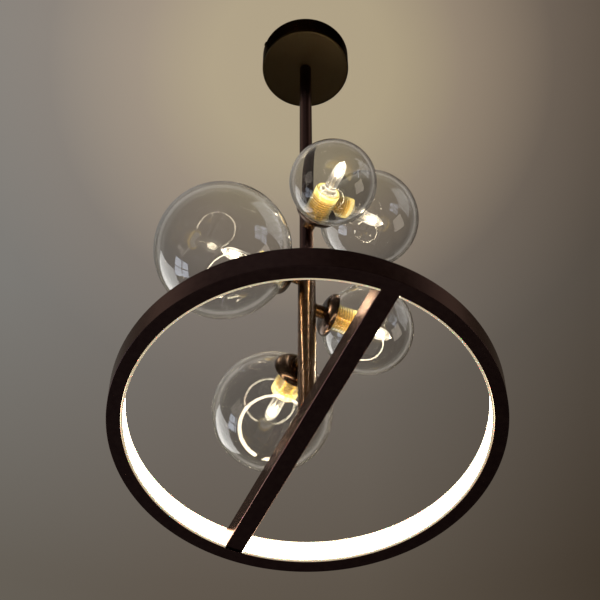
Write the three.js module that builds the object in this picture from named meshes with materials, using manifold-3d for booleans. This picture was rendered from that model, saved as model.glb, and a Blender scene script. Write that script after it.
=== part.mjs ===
// A ceiling light with five clear glass globes round a stem, above a lit ring on a cross bar.
// Millimetres, +Z up. The origin is in the ceiling plane, on the axis of the stem.
import * as THREE from "three";
import { mergeVertices } from "three/addons/utils/BufferGeometryUtils.js";
import Module from "manifold-3d";

const wasm = await Module();
wasm.setup();

// Fits shared by all pieces
const gap = 0.3; // between pieces that seat on each other
const overrun = 2; // how far a cutter runs past what it cuts
const roundSides = 24;
const smallSides = 12;
const weld = 1e-4; // points nearer than this are one point

// Ring at the bottom
const dropToRingBottom = 790;
const ringRadius = 201;
const ringHeight = 29;
const ringDepth = 14.5; // radial width of the housing
const housingWall = 2;
const ringSides = 72;
const diffuserProud = 2.4; // how far the diffuser stands in from the housing
const diffuserSetback = 0.5; // how far it stays inside the top and bottom faces
const diffuserLeg = 4.2; // how far its snap legs reach into the channel
const diffuserLegWall = 1.8;
const stripThickness = 1.6;
const stripHeight = 10;

// Bar across the ring, along Y
const barWidth = 20;
const barWall = 1.5;
const plugLength = 18;
const ringScrewRadius = 2;
const ringScrewLength = 14;
const ringScrewHeadRadius = 3.8;

// Rod and stem
const rodRadius = 8;
const rodWall = 1.5;
const stemRadius = 10;
const stemWall = 1.5;
const stemPastArm = 42; // how far the stem runs on above its highest arm
const couplerCap = 9;
const couplerPlug = 18;
const couplerBevel = 1.5;
const rodGrip = 14; // how deep the rod sits in the coupler
const nippleRadius = 5;
const nippleBore = 3.5;
const nippleGrip = 9; // how far an end nipple stands into the rod or stem
const nutAcross = 14;
const nutHeight = 5;
const nutSides = 6;
const footLength = 16; // threaded plug in an end of the rod or stem

// Canopy
const canopyRadius = 59;
const canopyHeight = 36;
const canopyWall = 1.2;
const canopyBend = 2.5; // outside radius of the edge below
const canopySides = 40;
const strapWidth = 22;
const strapThickness = 2;
const strapEar = 16;
const strapSlotLength = 18;
const strapSlotWidth = 5;
const strapSlotOffset = 30;
const sideScrewRadius = 2;
const sideScrewHeadRadius = 3.6;
const sideScrewHead = 2.2;
const sideScrewLength = 9;

// The driver and the terminals follow the canopy: shares of its radius and of its height
const driverLengthShare = 1.2;
const driverWidthShare = 0.44;
const driverOffsetShare = 0.49; // from the rod to the middle of the driver
const driverHeightShare = 0.55;
const driverCorner = 3;
const terminalLengthShare = 0.58;
const terminalWidthShare = 0.27;
const terminalOffsetShare = 0.47;
const terminalHeightShare = 0.39;
const terminalWays = 3;
const terminalScrewRadius = 2.2;
const terminalScrewDepth = 4;

// Lamps: every one has the same arm, dish, holder and bulb
const rimReach = 29; // from the stem's axis to the rim of the dish
const sleeveRadius = 7.2;
const armTail = 2; // how far an arm's spigot stands inside the stem
const dishRadius = 25;
const dishDepth = 10;
const dishBackRadius = 10; // flat part of its back
const dishWall = 1.2;
const dishLip = dishWall / 2; // radius of its rounded rim
const dishSteps = 4;
const holderRadius = 12.2;
const holderReach = 31; // how far the holder stands past the rim
const holderFoot = 3; // solid foot of the holder, which the nipple screws into
const holderNeckRadius = 10;
const holderBevel = 1;
const socketRadius = 7.9;
const socketDepth = 11;
const pinSpacing = 9;
const pinRadius = 0.9;
const pinLength = 6;
const bulbRadius = 7;
const bulbBaseRadius = 7.5;
const bulbReach = 76; // how far the bulb's tip stands past the rim
const bulbTip = 2.2; // the sealed tip's radius
const bulbShoulderShare = 0.8; // of the bulb's radius, where it starts to close
const glassWall = 2;
const neckRadius = 12.5; // bore of the neck that is turned into the globe
const neckWall = 2.3;
const neckReach = 32;
const neckBevel = 0.6;
const gasketWidth = 4.4;
const globeSides = 18;
const globeRings = 9;
const holderSides = 16;

// Each lamp from the ring upwards: the rise from the arm below it, and its globe's diameter
const backRise = 125; // from the ring's bottom face
const backGlobe = 132;
const rightRise = 81.5;
const rightGlobe = 103;
const leftRise = 48;
const leftGlobe = 154;
const frontRise = 102.5;
const frontGlobe = 101;
const topRise = 79;
const topGlobe = 122;

const lamps = [
  { rise: backRise, diameter: backGlobe, turn: Math.PI / 2, onStem: true },
  { rise: rightRise, diameter: rightGlobe, turn: 0, onStem: true },
  { rise: leftRise, diameter: leftGlobe, turn: Math.PI, onStem: true },
  { rise: frontRise, diameter: frontGlobe, turn: -Math.PI / 2, onStem: false },
  { rise: topRise, diameter: topGlobe, turn: 0, onStem: false },
];

const finish = (color, roughness, metalness) =>
  new THREE.MeshStandardMaterial({ color, roughness, metalness });
const blackPaint = finish(0x1b1817, 0.45, 0.6);
const bronze = finish(0x2e231f, 0.25, 0.9);
const steel = finish(0xa9a9a6, 0.35, 1);
const goldAnodised = finish(0xb98c46, 0.3, 1);
const plastic = finish(0xe2e2de, 0.5, 0);
const opal = finish(0xfff6e2, 0.6, 0);
const board = finish(0xf2ead0, 0.6, 0);
const silicone = finish(0xd8d5cd, 0.8, 0);
const glass = finish(0xdfe6e6, 0.05, 0);
const bulbGlass = finish(0xfff1cf, 0.1, 0);
for (const clear of [glass, bulbGlass]) {
  clear.transparent = true;
  clear.opacity = 0.35;
}

const ringBottom = -dropToRingBottom;
const ringTop = ringBottom + ringHeight;
const channelRadius = ringRadius - housingWall;
const lipRadius = ringRadius - ringDepth;
const barBottom = ringBottom + housingWall + gap;
const barTop = ringTop - housingWall - gap;
let armHeight = ringBottom;
for (const lamp of lamps) {
  armHeight += lamp.rise;
  lamp.height = armHeight;
}
const stemArms = lamps.filter((lamp) => lamp.onStem);
const barEnd = Math.sqrt((channelRadius - 2 * gap) ** 2 - (barWidth / 2) ** 2);
const stemBottom = barTop + gap;
const stemTop = stemArms[stemArms.length - 1].height + stemPastArm;
const rodBottom = stemTop + couplerCap - rodGrip;
const canopyFloor = -canopyHeight;
const rodTop = canopyFloor - gap;

// Drops what a closed solid doesn't need, and triangles that shrank to a line.
function tidy(geometry) {
  geometry.deleteAttribute("normal");
  geometry.deleteAttribute("uv");
  const merged = mergeVertices(geometry, weld);
  const kept = [];
  for (let i = 0; i < merged.index.count; i += 3) {
    const [a, b, c] = [0, 1, 2].map((k) => merged.index.getX(i + k));
    if (a !== b && b !== c && c !== a) kept.push(a, b, c);
  }
  merged.setIndex(kept);
  return merged;
}

function solid(geometry) {
  const clean = tidy(geometry);
  return new wasm.Manifold(
    new wasm.Mesh({
      numProp: 3,
      vertProperties: new Float32Array(clean.attributes.position.array),
      triVerts: new Uint32Array(clean.index.array),
    }),
  );
}

function geometryOf(manifold) {
  const made = manifold.getMesh();
  return new THREE.BufferGeometry()
    .setAttribute(
      "position",
      new THREE.BufferAttribute(new Float32Array(made.vertProperties), 3),
    )
    .setIndex(new THREE.BufferAttribute(new Uint32Array(made.triVerts), 1));
}

function cut(base, ...tools) {
  return geometryOf(
    tools.reduce((left, tool) => left.subtract(solid(tool)), solid(base)),
  );
}

function join(base, ...others) {
  return geometryOf(
    others.reduce((left, other) => left.add(solid(other)), solid(base)),
  );
}

// Turns a profile of [radius, height] points about Z. It runs upwards on the outside.
function turned(profile, sides) {
  const points = profile.map(([r, z]) => new THREE.Vector2(r, z));
  return tidy(new THREE.LatheGeometry(points, sides).rotateX(Math.PI / 2));
}

// The same about X, for a lamp: [radius, reach] points.
function turnedOutwards(profile, sides) {
  return turned(profile, sides).rotateY(Math.PI / 2);
}

function tube(outer, inner, low, high, sides) {
  return turned(
    [
      [inner, low],
      [outer, low],
      [outer, high],
      [inner, high],
      [inner, low],
    ],
    sides,
  );
}

function rod(radius, low, high, sides) {
  return turned(
    [
      [0, low],
      [radius, low],
      [radius, high],
      [0, high],
    ],
    sides,
  );
}

function box(sizeX, sizeY, sizeZ, x, y, z) {
  return new THREE.BoxGeometry(sizeX, sizeY, sizeZ).translate(x, y, z);
}

function shapeOf(points) {
  return new THREE.Shape(points.map(([x, y]) => new THREE.Vector2(x, y)));
}

// An outline of [radius, height] points swept round Z from one angle to another.
function arc(section, from, to, steps) {
  const position = [];
  const index = [];
  const count = section.length;
  for (let i = 0; i <= steps; i += 1) {
    const angle = from + ((to - from) * i) / steps;
    for (const [r, z] of section)
      position.push(r * Math.cos(angle), r * Math.sin(angle), z);
  }
  for (let i = 0; i < steps; i += 1)
    for (let k = 0; k < count; k += 1) {
      const a = i * count + k;
      const b = i * count + ((k + 1) % count);
      index.push(a, a + count, b, b, a + count, b + count);
    }
  const faces = THREE.ShapeUtils.triangulateShape(
    section.map(([r, z]) => new THREE.Vector2(r, z)),
    [],
  );
  const last = steps * count;
  for (const [a, b, c] of faces) {
    index.push(a, b, c);
    index.push(last + a, last + c, last + b);
  }
  return new THREE.BufferGeometry()
    .setAttribute("position", new THREE.Float32BufferAttribute(position, 3))
    .setIndex(index);
}

const chandelier = new THREE.Group();

function place(name, geometry, material, parent = chandelier) {
  const mesh = new THREE.Mesh(geometry, material);
  mesh.name = name;
  parent.add(mesh);
  return mesh;
}

// Ceiling strap: a steel strip with slots, and ears bent down inside the canopy
const strapHalf = canopyRadius - canopyWall - gap;
const sideScrewHeight = -strapEar / 2 - strapThickness / 2;

function strapSlot(x) {
  const straight = (strapSlotLength - strapSlotWidth) / 2;
  const shape = new THREE.Shape();
  shape.absarc(x + straight, 0, strapSlotWidth / 2, -Math.PI / 2, Math.PI / 2);
  shape.absarc(x - straight, 0, strapSlotWidth / 2, Math.PI / 2, (3 * Math.PI) / 2);
  return new THREE.ExtrudeGeometry(shape, {
    depth: strapThickness + 2 * overrun,
    bevelEnabled: false,
    curveSegments: smallSides / 2,
  }).translate(0, 0, -strapThickness - overrun);
}

function ceilingStrap() {
  const reach = Math.sqrt(strapHalf ** 2 - (strapWidth / 2) ** 2);
  const outline = shapeOf([
    [-reach, -strapEar],
    [-reach + strapThickness, -strapEar],
    [-reach + strapThickness, -strapThickness],
    [reach - strapThickness, -strapThickness],
    [reach - strapThickness, -strapEar],
    [reach, -strapEar],
    [reach, 0],
    [-reach, 0],
  ]);
  const bent = new THREE.ExtrudeGeometry(outline, {
    depth: strapWidth,
    bevelEnabled: false,
  })
    .rotateX(Math.PI / 2)
    .translate(0, strapWidth / 2, 0);
  const screwHole = rod(
    sideScrewRadius + gap,
    -canopyRadius,
    canopyRadius,
    smallSides,
  )
    .rotateY(Math.PI / 2)
    .translate(0, 0, sideScrewHeight);
  return cut(bent, strapSlot(strapSlotOffset), strapSlot(-strapSlotOffset), screwHole);
}

// Canopy: a spun cup with a rounded edge, open at the ceiling
function canopyCup() {
  const inner = canopyRadius - canopyWall;
  const innerBend = canopyBend - canopyWall;
  const bendSteps = 3;
  const bend = (radius, step) => {
    const angle = (-Math.PI / 2) * (1 - step / bendSteps);
    return [
      canopyRadius - canopyBend + radius * Math.cos(angle),
      canopyFloor + canopyBend + radius * Math.sin(angle),
    ];
  };
  const steps = [0, 1, 2, 3];
  const profile = [
    [nippleRadius + gap, canopyFloor + canopyWall],
    [nippleRadius + gap, canopyFloor],
    ...steps.map((step) => bend(canopyBend, step)),
    [canopyRadius, 0],
    [inner, 0],
    ...steps.reverse().map((step) => bend(innerBend, step)),
    [nippleRadius + gap, canopyFloor + canopyWall],
  ];
  const screwHole = rod(
    sideScrewRadius + gap,
    -canopyRadius - overrun,
    canopyRadius + overrun,
    smallSides,
  )
    .rotateY(Math.PI / 2)
    .translate(0, 0, sideScrewHeight);
  return cut(turned(profile, canopySides), screwHole);
}

// A round-headed screw along +X, its head's flat seat at zero
function sideScrew() {
  return turnedOutwards(
    [
      [0, -sideScrewLength],
      [sideScrewRadius, -sideScrewLength],
      [sideScrewRadius, 0],
      [sideScrewHeadRadius, 0],
      [sideScrewHeadRadius, sideScrewHead / 2],
      [sideScrewHeadRadius / 2, sideScrewHead],
      [0, sideScrewHead],
    ],
    smallSides,
  );
}

// LED driver: a moulded box with rounded corners, lying on the canopy floor
function ledDriver() {
  const x = (driverLengthShare * canopyRadius) / 2 - driverCorner;
  const y = (driverWidthShare * canopyRadius) / 2 - driverCorner;
  const shape = new THREE.Shape();
  shape.absarc(x, y, driverCorner, 0, Math.PI / 2);
  shape.absarc(-x, y, driverCorner, Math.PI / 2, Math.PI);
  shape.absarc(-x, -y, driverCorner, Math.PI, (3 * Math.PI) / 2);
  shape.absarc(x, -y, driverCorner, (3 * Math.PI) / 2, 2 * Math.PI);
  return tidy(
    new THREE.ExtrudeGeometry(shape, {
      depth: driverHeightShare * canopyHeight,
      bevelEnabled: false,
      curveSegments: 3,
    }),
  ).translate(0, driverOffsetShare * canopyRadius, canopyFloor + canopyWall + gap);
}

// Terminal block: three ways, each with its screw well
function terminalBlock() {
  const low = canopyFloor + canopyWall + gap;
  const length = terminalLengthShare * canopyRadius;
  const width = terminalWidthShare * canopyRadius;
  const height = terminalHeightShare * canopyHeight;
  const offset = terminalOffsetShare * canopyRadius;
  const body = box(length, width, height, 0, -offset, low + height / 2);
  const pitch = length / terminalWays;
  const wells = [];
  for (let way = 0; way < terminalWays; way += 1)
    wells.push(
      rod(
        terminalScrewRadius,
        low + height - terminalScrewDepth,
        low + height + overrun,
        smallSides,
      ).translate(pitch * (way - (terminalWays - 1) / 2), -offset, 0),
    );
  return cut(body, ...wells);
}

function hexNut(low) {
  const corner = nutAcross / Math.sqrt(3);
  const bore = rod(
    nippleRadius + gap,
    low - overrun,
    low + nutHeight + overrun,
    smallSides,
  );
  return cut(rod(corner, low, low + nutHeight, nutSides), bore);
}

// A tube whose end is closed by a tapped plug, which a nipple screws into
function pluggedTube(outer, wall, low, high, plugLow, plugHigh) {
  const inner = outer - wall;
  const bore = nippleRadius + gap;
  const profile = [[inner, low]];
  if (plugLow === low) profile[0] = [bore, low];
  profile.push([outer, low], [outer, high]);
  if (plugHigh === high) {
    profile.push([bore, high], [bore, plugLow], [inner, plugLow], [inner, low]);
  } else {
    profile.push([inner, high], [inner, plugHigh], [bore, plugHigh], [bore, low]);
  }
  return turned(profile, roundSides);
}

// Holes in one wall of the stem or the rod, where the arms' spigots go in
function armHoles(onStem) {
  return lamps
    .filter((lamp) => lamp.onStem === onStem)
    .map((lamp) =>
      rod(nippleRadius + gap, 0, stemRadius + overrun, smallSides)
        .rotateY(Math.PI / 2)
        .rotateZ(lamp.turn)
        .translate(0, 0, lamp.height),
    );
}

// Upper rod, held to the canopy floor by a hollow nipple and a nut
function upperRod() {
  const tubeWithPlug = pluggedTube(
    rodRadius,
    rodWall,
    rodBottom,
    rodTop,
    rodTop - footLength,
    rodTop,
  );
  return cut(tubeWithPlug, ...armHoles(false));
}

// Lower stem, wider than the rod and screwed down on the bar
function lowerStem() {
  const tubeWithPlug = pluggedTube(
    stemRadius,
    stemWall,
    stemBottom,
    stemTop,
    stemBottom,
    stemBottom + footLength,
  );
  return cut(tubeWithPlug, ...armHoles(true));
}

// Coupler: a turned cap that plugs the stem and grips the rod
function rodCoupler() {
  const bore = rodRadius + gap;
  const plug = stemRadius - stemWall - gap;
  const wireBore = nippleBore;
  return turned(
    [
      [wireBore, stemTop - couplerPlug],
      [plug, stemTop - couplerPlug],
      [plug, stemTop + gap],
      [stemRadius, stemTop + gap],
      [stemRadius, stemTop + couplerCap - couplerBevel],
      [stemRadius - couplerBevel / 2, stemTop + couplerCap],
      [bore, stemTop + couplerCap],
      [bore, rodBottom - gap],
      [wireBore, rodBottom - gap],
      [wireBore, stemTop - couplerPlug],
    ],
    roundSides,
  );
}

// Cross bar: a rectangular tube along Y, with a hole for the stem's nipple
const barHeight = barTop - barBottom;
const barMiddle = (barTop + barBottom) / 2;

function crossBar() {
  const outside = box(barWidth, 2 * barEnd, barHeight, 0, 0, barMiddle);
  const inside = box(
    barWidth - 2 * barWall,
    2 * (barEnd + overrun),
    barHeight - 2 * barWall,
    0,
    0,
    barMiddle,
  );
  const hole = rod(nippleRadius + gap, barMiddle, barTop + overrun, smallSides);
  return cut(outside, inside, hole);
}

// Plug in the bar's end at +Y, tapped for the ring's screw
function barPlug() {
  const clear = barWall + gap;
  const block = box(
    barWidth - 2 * clear,
    plugLength,
    barHeight - 2 * clear,
    0,
    barEnd - plugLength / 2,
    barMiddle,
  );
  const tapped = rod(
    ringScrewRadius + gap,
    barEnd - plugLength - overrun,
    barEnd + overrun,
    smallSides,
  )
    .rotateX(-Math.PI / 2)
    .translate(0, 0, barMiddle);
  return cut(block, tapped);
}

// Countersunk screw through the ring's wall at +Y, its head flush with the outside
const ringScrewFace = ringRadius - gap;
const screwConeDepth = housingWall - gap;

function ringScrew() {
  return turned(
    [
      [0, ringScrewFace - ringScrewLength],
      [ringScrewRadius, ringScrewFace - ringScrewLength],
      [ringScrewRadius, ringScrewFace - screwConeDepth],
      [ringScrewHeadRadius, ringScrewFace],
      [0, ringScrewFace],
    ],
    smallSides,
  )
    .rotateX(-Math.PI / 2)
    .translate(0, 0, barMiddle);
}

function screwSeat() {
  const slope = (ringScrewHeadRadius - ringScrewRadius) / screwConeDepth;
  const past = ringScrewHeadRadius + gap + slope * overrun;
  return turned(
    [
      [0, channelRadius - overrun],
      [ringScrewRadius + gap, channelRadius - overrun],
      [ringScrewRadius + gap, ringScrewFace - screwConeDepth],
      [past, ringScrewFace + overrun],
      [0, ringScrewFace + overrun],
    ],
    smallSides,
  )
    .rotateX(-Math.PI / 2)
    .translate(0, 0, barMiddle);
}

// Ring housing: a channel rolled to a circle, open inwards
function ringHousing() {
  const profile = [
    [lipRadius, ringBottom],
    [ringRadius, ringBottom],
    [ringRadius, ringTop],
    [lipRadius, ringTop],
    [lipRadius, ringTop - housingWall],
    [channelRadius, ringTop - housingWall],
    [channelRadius, ringBottom + housingWall],
    [lipRadius, ringBottom + housingWall],
    [lipRadius, ringBottom],
  ];
  return cut(
    turned(profile, ringSides),
    screwSeat(),
    screwSeat().rotateZ(Math.PI),
  );
}

// The angle at which a piece of the given inner radius stops beside the bar
function besideBar(radius) {
  return Math.PI / 2 - Math.asin((barWidth / 2 + gap) / radius);
}

// Diffuser on the +X side: a full-height face with two legs that snap into the channel
function diffuser() {
  const face = lipRadius - diffuserProud;
  const back = lipRadius - gap;
  const leg = lipRadius + diffuserLeg;
  const low = ringBottom + diffuserSetback;
  const high = ringTop - diffuserSetback;
  const legLow = ringBottom + housingWall + gap;
  const legHigh = ringTop - housingWall - gap;
  const section = [
    [face, low],
    [back, low],
    [back, legLow],
    [leg, legLow],
    [leg, legLow + diffuserLegWall],
    [back, legLow + diffuserLegWall],
    [back, legHigh - diffuserLegWall],
    [leg, legHigh - diffuserLegWall],
    [leg, legHigh],
    [back, legHigh],
    [back, high],
    [face, high],
  ];
  const end = besideBar(face);
  return arc(section, -end, end, ringSides / 2);
}

// LED strip on the +X side, stuck to the channel's back
function ledStrip() {
  const back = channelRadius - gap;
  const middle = (ringBottom + ringTop) / 2;
  const section = [
    [back - stripThickness, middle - stripHeight / 2],
    [back, middle - stripHeight / 2],
    [back, middle + stripHeight / 2],
    [back - stripThickness, middle + stripHeight / 2],
  ];
  const end = besideBar(back - stripThickness);
  return arc(section, -end, end, ringSides / 3);
}

// Lamp pieces are made along +X from the stem's axis, at the height of their arm
const dishBack = rimReach - dishDepth;

// Arm: turned in one piece, hollow for the wires. Its shoulder is cut to hug the stem,
// and a threaded spigot at each end goes into the stem and through the dish.
function lampArm(carrierRadius, carrierWall) {
  const inWall = (nippleBore + nippleRadius) / 2;
  const shoulder = turnedOutwards(
    [
      [inWall, 0],
      [sleeveRadius, 0],
      [sleeveRadius, dishBack - gap],
      [inWall, dishBack - gap],
      [inWall, 0],
    ],
    smallSides,
  );
  const hug = rod(
    carrierRadius + gap,
    -sleeveRadius - overrun,
    sleeveRadius + overrun,
    roundSides,
  );
  const from = carrierRadius - carrierWall - armTail;
  const to = dishBack + dishWall + gap + holderFoot;
  const spigots = turnedOutwards(
    [
      [nippleBore, from],
      [nippleRadius, from],
      [nippleRadius, to],
      [nippleBore, to],
      [nippleBore, from],
    ],
    smallSides,
  );
  return join(cut(shoulder, hug), spigots);
}

// One side of the dish's bowl: a quarter ellipse from its flat back out to the rim
function bowlCurve(rimRadius, depth) {
  const points = [];
  for (let step = 0; step <= dishSteps; step += 1) {
    const angle = (Math.PI / 2) * (1 - step / dishSteps);
    points.push([
      dishBackRadius + (rimRadius - dishBackRadius) * Math.cos(angle),
      rimReach - dishLip - depth * Math.sin(angle),
    ]);
  }
  return points;
}

const bowlOutside = bowlCurve(dishRadius, dishDepth - dishLip);
const bowlInside = bowlCurve(
  dishRadius - dishWall,
  dishDepth - dishWall - dishLip,
);

// Dish: a turned bowl whose rim seats the globe
function dish() {
  const bore = nippleRadius + gap;
  return turnedOutwards(
    [
      [bore, dishBack],
      ...bowlOutside,
      [dishRadius - dishLip, rimReach],
      ...bowlInside.toReversed(),
      [bore, dishBack + dishWall],
      [bore, dishBack],
    ],
    globeSides,
  );
}

// Holder: the socket's threaded body, which the globe's neck screws over
function lampHolder() {
  const foot = dishBack + dishWall + gap;
  const front = rimReach + holderReach;
  const shoulder = foot + holderFoot;
  const body = turnedOutwards(
    [
      [0, shoulder + gap],
      [nippleRadius + gap, shoulder + gap],
      [nippleRadius + gap, foot],
      [holderNeckRadius - holderFoot, foot],
      [holderNeckRadius, shoulder],
      [holderRadius, shoulder + holderFoot],
      [holderRadius, front - holderBevel],
      [holderRadius - holderBevel, front],
      [socketRadius, front],
      [socketRadius, front - socketDepth],
      [0, front - socketDepth],
    ],
    holderSides,
  );
  const wells = [-1, 1].map((side) =>
    rod(
      pinRadius + gap,
      front - socketDepth - pinLength - 2 * gap,
      front - socketDepth + overrun,
      smallSides / 2,
    )
      .rotateY(Math.PI / 2)
      .translate(0, (side * pinSpacing) / 2, 0),
  );
  return cut(body, ...wells);
}

// Bulb: a glass capsule with a sealed tip, on a ceramic base with two pins
function bulb() {
  const base = rimReach + holderReach - socketDepth + gap;
  const baseEnd = base + socketDepth;
  const tip = rimReach + bulbReach;
  const body = turnedOutwards(
    [
      [0, base],
      [bulbBaseRadius, base],
      [bulbBaseRadius, baseEnd],
      [bulbRadius, baseEnd + bulbBaseRadius - bulbRadius],
      [bulbRadius, tip - 2 * bulbRadius],
      [bulbShoulderShare * bulbRadius, tip - bulbRadius],
      [bulbTip, tip - bulbTip],
      [0, tip],
    ],
    smallSides,
  );
  const pins = [-1, 1].map((side) =>
    rod(pinRadius, base - pinLength, base + pinRadius, smallSides / 2)
      .rotateY(Math.PI / 2)
      .translate(0, (side * pinSpacing) / 2, 0),
  );
  return join(body, ...pins);
}

// The sphere's reach at a given radius, on the side that faces the dish
function globeCentre(globeRadius) {
  const seat = dishRadius - dishLip;
  return rimReach + gap + Math.sqrt(globeRadius ** 2 - seat ** 2);
}

// Gasket: fills the space between the dish and the globe's shoulder
function gasket(globeRadius) {
  const inner = neckRadius + gap;
  const outer = inner + gasketWidth;
  const centre = globeCentre(globeRadius);
  const onGlobe = (radius) =>
    centre - Math.sqrt(globeRadius ** 2 - radius ** 2) - gap;
  const onDish = (radius) => {
    const next = bowlInside.findIndex((point) => point[0] > radius);
    const [before, after] = [bowlInside[next - 1], bowlInside[next]];
    const share = (radius - before[0]) / (after[0] - before[0]);
    return before[1] + share * (after[1] - before[1]) + gap;
  };
  return turnedOutwards(
    [
      [inner, onDish(inner)],
      [outer, onDish(outer)],
      [outer, onGlobe(outer)],
      [inner, onGlobe(inner)],
      [inner, onDish(inner)],
    ],
    holderSides,
  );
}

// Points of a half circle about the globe's centre, from a radius near the dish to the far pole
function globeArc(radius, centre, fromRadius) {
  const start = Math.asin(fromRadius / radius);
  const points = [];
  for (let step = 0; step < globeRings; step += 1) {
    const angle = start + ((Math.PI - start) * step) / globeRings;
    points.push([radius * Math.sin(angle), centre - radius * Math.cos(angle)]);
  }
  return [...points, [0, centre + radius]];
}

// Globe: the blown glass, up to where its neck is fused in
function globe(globeRadius) {
  const centre = globeCentre(globeRadius);
  const opening = neckRadius + neckWall + gap;
  return turnedOutwards(
    [
      ...globeArc(globeRadius - glassWall, centre, opening).reverse(),
      ...globeArc(globeRadius, centre, opening),
    ],
    globeSides,
  );
}

// Neck: the glass tube that is turned into the globe and screws over the holder
function globeNeck(globeRadius) {
  const centre = globeCentre(globeRadius);
  const neckOutside = neckRadius + neckWall;
  const mouth = (radius) => centre - Math.sqrt(globeRadius ** 2 - radius ** 2);
  const end = rimReach + neckReach;
  return turnedOutwards(
    [
      [neckRadius, mouth(neckRadius)],
      [neckOutside, mouth(neckOutside)],
      [neckOutside, end - neckBevel],
      [neckOutside - neckBevel, end],
      [neckRadius + neckBevel, end],
      [neckRadius, end - neckBevel],
      [neckRadius, mouth(neckRadius)],
    ],
    holderSides,
  );
}

place("ceiling_strap", ceilingStrap(), steel);
place("canopy_cup", canopyCup(), blackPaint);
for (const [side, turn] of [
  ["left", Math.PI],
  ["right", 0],
]) {
  const screw = place(`canopy_screw_${side}`, sideScrew(), blackPaint);
  screw.position.set(
    Math.cos(turn) * (canopyRadius + gap),
    0,
    sideScrewHeight,
  );
  screw.rotation.z = turn;
}
place("led_driver", ledDriver(), plastic);
place("terminal_block", terminalBlock(), plastic);

place(
  "rod_top_nipple",
  tube(
    nippleRadius,
    nippleBore,
    rodTop - nippleGrip,
    canopyFloor + canopyWall + gap + nutHeight + overrun,
    smallSides,
  ),
  steel,
);
place("rod_top_nut", hexNut(canopyFloor + canopyWall + gap), steel);
place("upper_rod", upperRod(), blackPaint);
place("rod_coupler", rodCoupler(), bronze);
place("lower_stem", lowerStem(), bronze);
place(
  "stem_nipple",
  tube(
    nippleRadius,
    nippleBore,
    barTop - barWall - gap - nutHeight - overrun,
    stemBottom + nippleGrip,
    smallSides,
  ),
  steel,
);
place("stem_nut", hexNut(barTop - barWall - gap - nutHeight), steel);

place("cross_bar", crossBar(), blackPaint);
place("ring_housing", ringHousing(), blackPaint);
for (const [end, turn] of [
  ["back", 0],
  ["front", Math.PI],
]) {
  place(`bar_plug_${end}`, barPlug(), steel).rotation.z = turn;
  place(`ring_screw_${end}`, ringScrew(), blackPaint).rotation.z = turn;
}
for (const [side, turn] of [
  ["right", 0],
  ["left", Math.PI],
]) {
  place(`led_strip_${side}`, ledStrip(), board).rotation.z = turn;
  place(`diffuser_${side}`, diffuser(), opal).rotation.z = turn;
}

lamps.forEach((lamp, number) => {
  const id = number + 1;
  const carrierRadius = lamp.onStem ? stemRadius : rodRadius;
  const carrierWall = lamp.onStem ? stemWall : rodWall;
  const globeRadius = lamp.diameter / 2;
  const arm = new THREE.Group();
  arm.position.z = lamp.height;
  arm.rotation.z = lamp.turn;
  chandelier.add(arm);
  place(`arm_${id}`, lampArm(carrierRadius, carrierWall), bronze, arm);
  place(`dish_${id}`, dish(), bronze, arm);
  place(`lamp_holder_${id}`, lampHolder(), goldAnodised, arm);
  place(`gasket_${id}`, gasket(globeRadius), silicone, arm);
  place(`bulb_${id}`, bulb(), bulbGlass, arm);
  place(`globe_${id}`, globe(globeRadius), glass, arm);
  place(`globe_neck_${id}`, globeNeck(globeRadius), glass, arm);
});

export default chandelier;
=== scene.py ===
"""A ceiling light with five clear glass globes round its stem, over a lit ring."""

import math

import bmesh
import bpy
import numpy as np
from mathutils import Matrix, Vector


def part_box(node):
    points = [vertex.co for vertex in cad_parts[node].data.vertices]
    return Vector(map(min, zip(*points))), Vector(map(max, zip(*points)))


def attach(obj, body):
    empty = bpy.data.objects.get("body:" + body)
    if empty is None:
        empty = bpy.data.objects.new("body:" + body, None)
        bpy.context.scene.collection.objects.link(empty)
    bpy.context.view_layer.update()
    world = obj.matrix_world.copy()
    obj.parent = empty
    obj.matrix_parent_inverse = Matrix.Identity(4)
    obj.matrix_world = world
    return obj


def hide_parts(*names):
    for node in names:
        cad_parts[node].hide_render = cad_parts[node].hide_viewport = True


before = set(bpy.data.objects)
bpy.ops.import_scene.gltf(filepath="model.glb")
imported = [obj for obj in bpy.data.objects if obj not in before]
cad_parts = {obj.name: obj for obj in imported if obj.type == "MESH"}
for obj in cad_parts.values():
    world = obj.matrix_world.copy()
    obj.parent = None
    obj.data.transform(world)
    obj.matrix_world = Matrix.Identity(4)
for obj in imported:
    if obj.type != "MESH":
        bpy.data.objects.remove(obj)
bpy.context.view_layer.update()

# Camera: low and to one side of the light, with a long lens, looking up as in the photograph.
# Its place, its turn and its lens are solved from the photograph's perspective.
CAMERA_AT = (-0.44665, -0.95589, -2.00401)  # metres
CAMERA_TURN = (143.6385, 0.0, -24.64)  # degrees
CAMERA_LENS = 96.38  # millimetres
SENSOR_WIDTH = 36  # millimetres

view = bpy.data.objects.new("camera", bpy.data.cameras.new("camera"))
view.data.lens = CAMERA_LENS
view.data.sensor_width = SENSOR_WIDTH
view.location = CAMERA_AT
view.rotation_euler = [math.radians(turn) for turn in CAMERA_TURN]
bpy.context.scene.collection.objects.link(view)
bpy.context.scene.camera = view


# Canopy: a spun steel cup with a rounded edge, sprayed with a satin black powder coat.
# Two round-headed screws hold it to the strap on the ceiling. A nut holds the rod in its floor.
MM = 0.001
CANOPY_RADIUS = 59 * MM
CANOPY_WALL = 1.2 * MM
CANOPY_EDGE = 2.5 * MM
NIPPLE_HOLE = 5.3 * MM
CORNER_SUPPORT = 0.35  # of a corner's cut, where the flats beside it start
NO_LENGTH = 1e-9  # metres: a shorter side of an outline is none
WELD = 1e-7  # metres: nearer points of a mesh become one


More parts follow.
